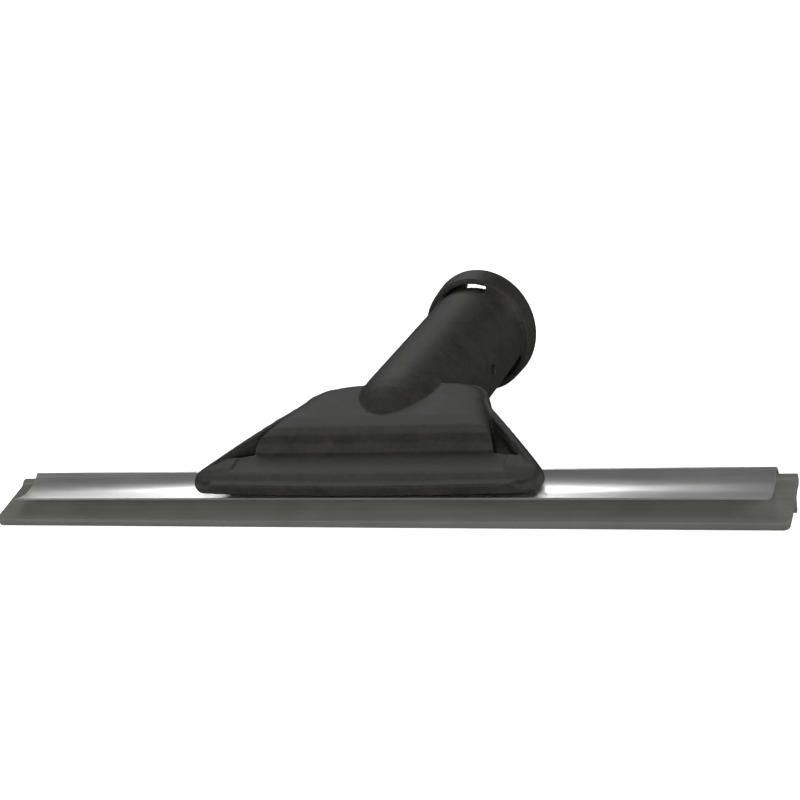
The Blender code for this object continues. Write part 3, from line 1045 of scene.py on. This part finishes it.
@dataclass
class BladeChannel:
    """Aluminium extrusion: hollowed top, flared lip, narrow crest, back wall and jaw."""

    length: float = 268.0
    wall: float = 0.9
    lip: Point2 = (6.6, 4.1)
    valley: Point2 = (15.4, 0.95)
    crest: Point2 = (23.0, 2.9)
    fall: tuple[Point2, ...] = ((23.7, 2.7), (24.6, 1.8), (25.4, 0.6), (25.8, -0.4))
    inside: tuple[Point2, ...] = ((24.9, -0.8), (24.5, 0.2), (23.6, 1.3))
    back_y: float = 25.8
    jaw_y: float = 17.2
    jaw_z: float = -5.1
    hem: float = 0.12

    def _top(self) -> list[Point2]:
        """The hollowed upper face from the lip back to the crest.

        Returns:
            The points.
        """
        front = []
        for step in range(17):
            share = step / 16
            front.append((self.lip[0] + (self.valley[0] - self.lip[0]) * share,
                          self.valley[1] + (self.lip[1] - self.valley[1]) * (1.0 - share) ** 2))
        back = []
        for step in range(1, 13):
            share = step / 12
            back.append((self.valley[0] + (self.crest[0] - self.valley[0]) * share,
                         self.valley[1] + (self.crest[1] - self.valley[1]) * share ** 2.2))
        return front + back

    def section(self) -> list[Point2]:
        """The whole section, in Y and Z.

        Returns:
            The points.
        """
        top = self._top()
        outside = [(self.back_y, self.jaw_z + 0.8), (self.back_y - 0.8, self.jaw_z),
                   (self.jaw_y, self.jaw_z), (self.jaw_y, self.jaw_z + self.wall)]
        inner = [(self.back_y - self.wall, self.jaw_z + self.wall)] + list(self.inside)
        under = [(y, z - self.wall) for y, z in reversed(top)]
        return top + list(self.fall) + outside + inner + under

    def build(self, shop: Workshop, finish: bpy.types.Material) -> list[bpy.types.Object]:
        """Builds and dresses the channel.

        Args:
            shop: The workshop.
            finish: The satin aluminium.

        Returns:
            The finished piece.
        """
        made = shop.solid("channel", bar(self.section(), self.length / 2))
        rounded = made.modifiers.new("hem", "BEVEL")
        rounded.width = self.hem
        rounded.segments = HEM_STEPS
        rounded.limit_method = "ANGLE"
        rounded.angle_limit = CORNER_ANGLE
        channel = shop.piece("blade_channel_extrusion", made, finish, 40.0)
        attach(channel, "head")
        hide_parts("blade_channel")
        return [channel]


@dataclass
class RubberBlade:
    """Rubber strip: thin wiping edge, rib below and a round bead at the back."""

    length: float = 280.0
    top: float = -0.3
    edge: float = 2.8
    root: float = 3.7
    corner: float = 2.0
    bead: Point2 = (22.0, -1.5)
    bead_radius: float = 2.3
    rib_y: float = 14.8
    rib_width: float = 2.4
    rib_tip: float = -7.8
    arris: float = 0.16

    def section(self) -> list[Point2]:
        """The strip's section, in Y and Z.

        Returns:
            The points.
        """
        bead = arc(self.bead, self.bead_radius, 140.0, -130.0, 28)
        neck = self.top - self.root
        tip = arc((self.rib_y, self.rib_tip + self.rib_width / 2), self.rib_width / 2,
                  0.0, -180.0, 14)
        foot = self.rib_width / 2 + 0.8
        return ([(0.0, self.top), (self.bead[0] - self.bead_radius - 0.5, self.top)] + bead
                + [(self.rib_y + foot, neck)] + tip
                + [(self.rib_y - foot, neck), (0.0, self.top - self.edge)])

    def build(self, shop: Workshop, finish: bpy.types.Material) -> list[bpy.types.Object]:
        """Builds and dresses the strip.

        Args:
            shop: The workshop.
            finish: The grey rubber.

        Returns:
            The finished piece.
        """
        work = bar(self.section(), self.length / 2)
        corners = [edge for edge in work.edges
                   if all(vert.co.y < 0.01 for vert in edge.verts)
                   and abs(edge.verts[0].co.x - edge.verts[1].co.x) < 0.01]
        bmesh.ops.bevel(work, geom=corners, offset=self.corner, segments=8, profile=0.5,
                        affect="EDGES")
        made = shop.solid("strip", work)
        rounded = made.modifiers.new("arris", "BEVEL")
        rounded.width = self.arris
        rounded.segments = HEM_STEPS
        rounded.limit_method = "ANGLE"
        rounded.angle_limit = CORNER_ANGLE
        blade = shop.piece("rubber_blade_strip", made, finish, 40.0)
        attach(blade, "blade")
        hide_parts("rubber_blade")
        return [blade]


# --------------------------------------------------------------------------- studio


@dataclass(frozen=True)
class SoftLight:
    """A square soft light aimed at the head.

    Attributes:
        name: Its name.
        at: Its place, in metres.
        size: Its side, in metres.
        watts: Its power.
    """

    name: str
    at: tuple[float, float, float]
    size: float
    watts: float

    def place(self, aim: Vector) -> None:
        """Adds the light to the scene.

        Args:
            aim: What it points at.
        """
        data = bpy.data.lights.new(self.name, "AREA")
        data.size = self.size
        data.energy = self.watts
        lamp = bpy.data.objects.new(self.name, data)
        lamp.location = self.at
        lamp.rotation_euler = (aim - Vector(self.at)).to_track_quat("-Z", "Y").to_euler()
        bpy.context.scene.collection.objects.link(lamp)


SOFT_LIGHTS = (SoftLight("front_soft", (0.7, -1.9, 0.25), 0.8, 42.0),
               SoftLight("left_soft", (-1.5, -0.9, 0.35), 0.7, 16.0),
               SoftLight("right_soft", (1.5, 0.2, 0.4), 0.6, 14.0),
               SoftLight("back_card", (-1.05, 1.65, 1.9), 1.5, 30.0))


@dataclass
class Studio:
    """White sweep, soft lights and the camera."""

    lens_mm: float = 70.93
    camera_at: tuple[float, float, float] = (212.955, -365.004, 291.996)
    look: tuple[float, float, float] = (-0.385, 0.766, -0.515)
    up: tuple[float, float, float] = (0.025, 0.566, 0.824)
    aim: tuple[float, float, float] = (0.0, 0.0, 0.02)
    paper_glow: float = 0.9
    world_strength: float = 0.10
    sweep_side: float = 40.0
    sweep_bend: float = 1.5
    sweep_bend_y: float = 4.0
    sweep_top: float = 20.0

    def sweep(self) -> bpy.types.Object:
        """Floor that curves up into a back wall.

        Returns:
            The sweep.
        """
        side = self.sweep_side
        bend = arc((self.sweep_bend_y, self.sweep_bend), self.sweep_bend, -90.0, 0.0, 24)
        wall_y = self.sweep_bend_y + self.sweep_bend
        path = [(-side, 0.0)] + bend + [(wall_y, self.sweep_top)]
        work = bmesh.new()
        near = [work.verts.new((-side, y, z)) for y, z in path]
        far = [work.verts.new((side, y, z)) for y, z in path]
        for index in range(len(path) - 1):
            work.faces.new((near[index], far[index], far[index + 1], near[index + 1]))
        mesh = bpy.data.meshes.new("sweep")
        work.to_mesh(mesh)
        work.free()
        mesh.polygons.foreach_set("use_smooth", [True] * len(mesh.polygons))
        paper = bpy.data.materials.new("white_paper")
        paper.use_nodes = True
        shader = paper.node_tree.nodes["Principled BSDF"]
        shader.inputs["Base Color"].default_value = (0.93, 0.93, 0.93, 1.0)
        shader.inputs["Roughness"].default_value = 0.9
        shader.inputs["Specular IOR Level"].default_value = 0.1
        shader.inputs["Emission Color"].default_value = (1.0, 1.0, 1.0, 1.0)
        shader.inputs["Emission Strength"].default_value = self.paper_glow
        mesh.materials.append(paper)
        made = bpy.data.objects.new("sweep", mesh)
        bpy.context.scene.collection.objects.link(made)
        made.visible_diffuse = False
        made.visible_glossy = False
        return made

    def camera(self, axes: HeadAxes) -> None:
        """Adds the camera, placed in the blade's axes.

        Args:
            axes: The blade's axes in the frame.
        """
        data = bpy.data.cameras.new("camera")
        data.lens = self.lens_mm
        data.sensor_width = 36.0
        data.clip_end = 50.0
        back = -Vector(self.look).normalized()
        up = Vector(self.up)
        up = (up - back * up.dot(back)).normalized()
        right = up.cross(back)
        turn = Matrix((right, up, back)).transposed().to_4x4()
        made = bpy.data.objects.new("camera", data)
        place = axes.matrix() @ Vector(self.camera_at)
        made.matrix_world = Matrix.Translation(place) @ axes.rotation() @ turn
        bpy.context.scene.collection.objects.link(made)
        bpy.context.scene.camera = made

    def build(self, axes: HeadAxes) -> None:
        """Sets up the floor, lights, world and camera.

        Args:
            axes: The blade's axes in the frame.
        """
        self.sweep()
        for light in SOFT_LIGHTS:
            light.place(Vector(self.aim))
        world = bpy.data.worlds.new("studio")
        world.use_nodes = True
        background = world.node_tree.nodes["Background"]
        background.inputs["Color"].default_value = (1.0, 1.0, 1.0, 1.0)
        background.inputs["Strength"].default_value = self.world_strength
        bpy.context.scene.world = world
        bpy.context.scene.view_settings.view_transform = "Standard"
        self.camera(axes)


# --------------------------------------------------------------------------- main


def head_axes(channel: BladeChannel, blade: RubberBlade, socket: PoleSocket) -> HeadAxes:
    """Finds the blade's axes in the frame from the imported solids.

    Args:
        channel: The channel's sizes.
        blade: The blade's sizes.
        socket: The socket's sizes.

    Returns:
        The axes.
    """
    low = socket.oval_point(math.pi, 0.0, 0.0)
    tilt = math.atan((blade.rib_tip - low.z) / (low.y - blade.rib_y))
    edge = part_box("rubber_blade")[0].y
    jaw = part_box("blade_channel")[0].z
    shift_y = edge + blade.top * MM * math.sin(tilt)
    jaw_drop = channel.jaw_y * math.sin(tilt) + channel.jaw_z * math.cos(tilt)
    return HeadAxes(tilt, Vector((0.0, shift_y, jaw - jaw_drop * MM)))


def table_rule(axes: HeadAxes) -> Height:
    """Height of the table top in the blade's axes.

    Args:
        axes: The blade's axes in the frame.

    Returns:
        A rule that gives the height at a Y.
    """
    lift = axes.shift.z / MM

    def at(y: float) -> float:
        """Height of the table at a Y."""
        return -(lift + y * math.sin(axes.tilt)) / math.cos(axes.tilt)

    return at


def report(pieces: Sequence[bpy.types.Object]) -> None:
    """Logs each finished piece.

    Args:
        pieces: The pieces.
    """
    for piece in pieces:
        LOG.info("%s: %d faces", piece.name, len(piece.data.polygons))


def main() -> None:
    """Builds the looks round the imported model."""
    logging.basicConfig(level=logging.INFO, format="%(message)s")
    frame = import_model()
    nodes = frame["nodes"]
    channel, blade, moulding = BladeChannel(), RubberBlade(), HeadMoulding()
    axes = head_axes(channel, blade, moulding.socket)
    Studio().build(axes)
    shop = Workshop(axes)
    plastic = BLACK_PLASTIC.material()
    screws = [nodes[name] for name in sorted(nodes) if "screw" in name]
    report(moulding.build(shop, plastic, table_rule(axes)))
    report(LowerCover().build(shop, plastic, nodes["lower_cover"]))
    report(channel.build(shop, SATIN_ALUMINIUM.material()))
    report(blade.build(shop, GREY_RUBBER.material()))
    report(PanScrews().build(shop, ZINC_STEEL.material(), screws))
    shop.clear()


if __name__ == "__main__":
    main()
